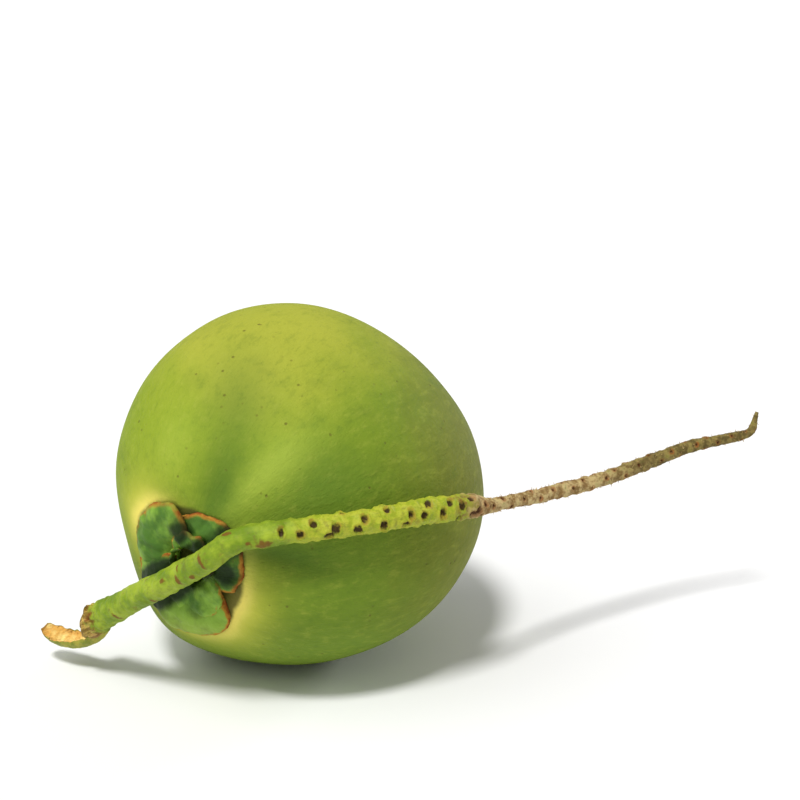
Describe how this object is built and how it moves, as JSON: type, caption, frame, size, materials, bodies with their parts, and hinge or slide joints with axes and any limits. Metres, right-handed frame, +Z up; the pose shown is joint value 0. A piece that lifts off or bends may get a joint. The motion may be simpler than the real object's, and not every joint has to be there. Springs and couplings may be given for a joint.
{
  "type": "green coconut",
  "caption": "Young green coconut as picked, lying on its side, with its calyx and the pitted fruiting stalk that bends round it into a dry tail.",
  "frame": {"origin": "centre of the small flat spot that the fruit rests on", "axes": "+Z is up from the surface it rests on, +X points along the dry tail of the stalk, and the stem end faces mostly -Y, turned towards -X and a little down"},
  "size_m": [0.3666, 0.195, 0.177],
  "materials": {
    "husk_skin": "smooth waxy green skin, satin",
    "calyx": "dull dark green with dry brown margins",
    "stalk": "satin green stem with brown pits, dull dry tan tail"
  },
  "bodies": {
    "root": {"coconut_fruit": "husk_skin", "inner_tepal_1": "calyx", "inner_tepal_2": "calyx", "inner_tepal_3": "calyx", "outer_tepal_1": "calyx", "outer_tepal_2": "calyx", "outer_tepal_3": "calyx", "fruit_stalk": "stalk"}
  },
  "joints": []
}
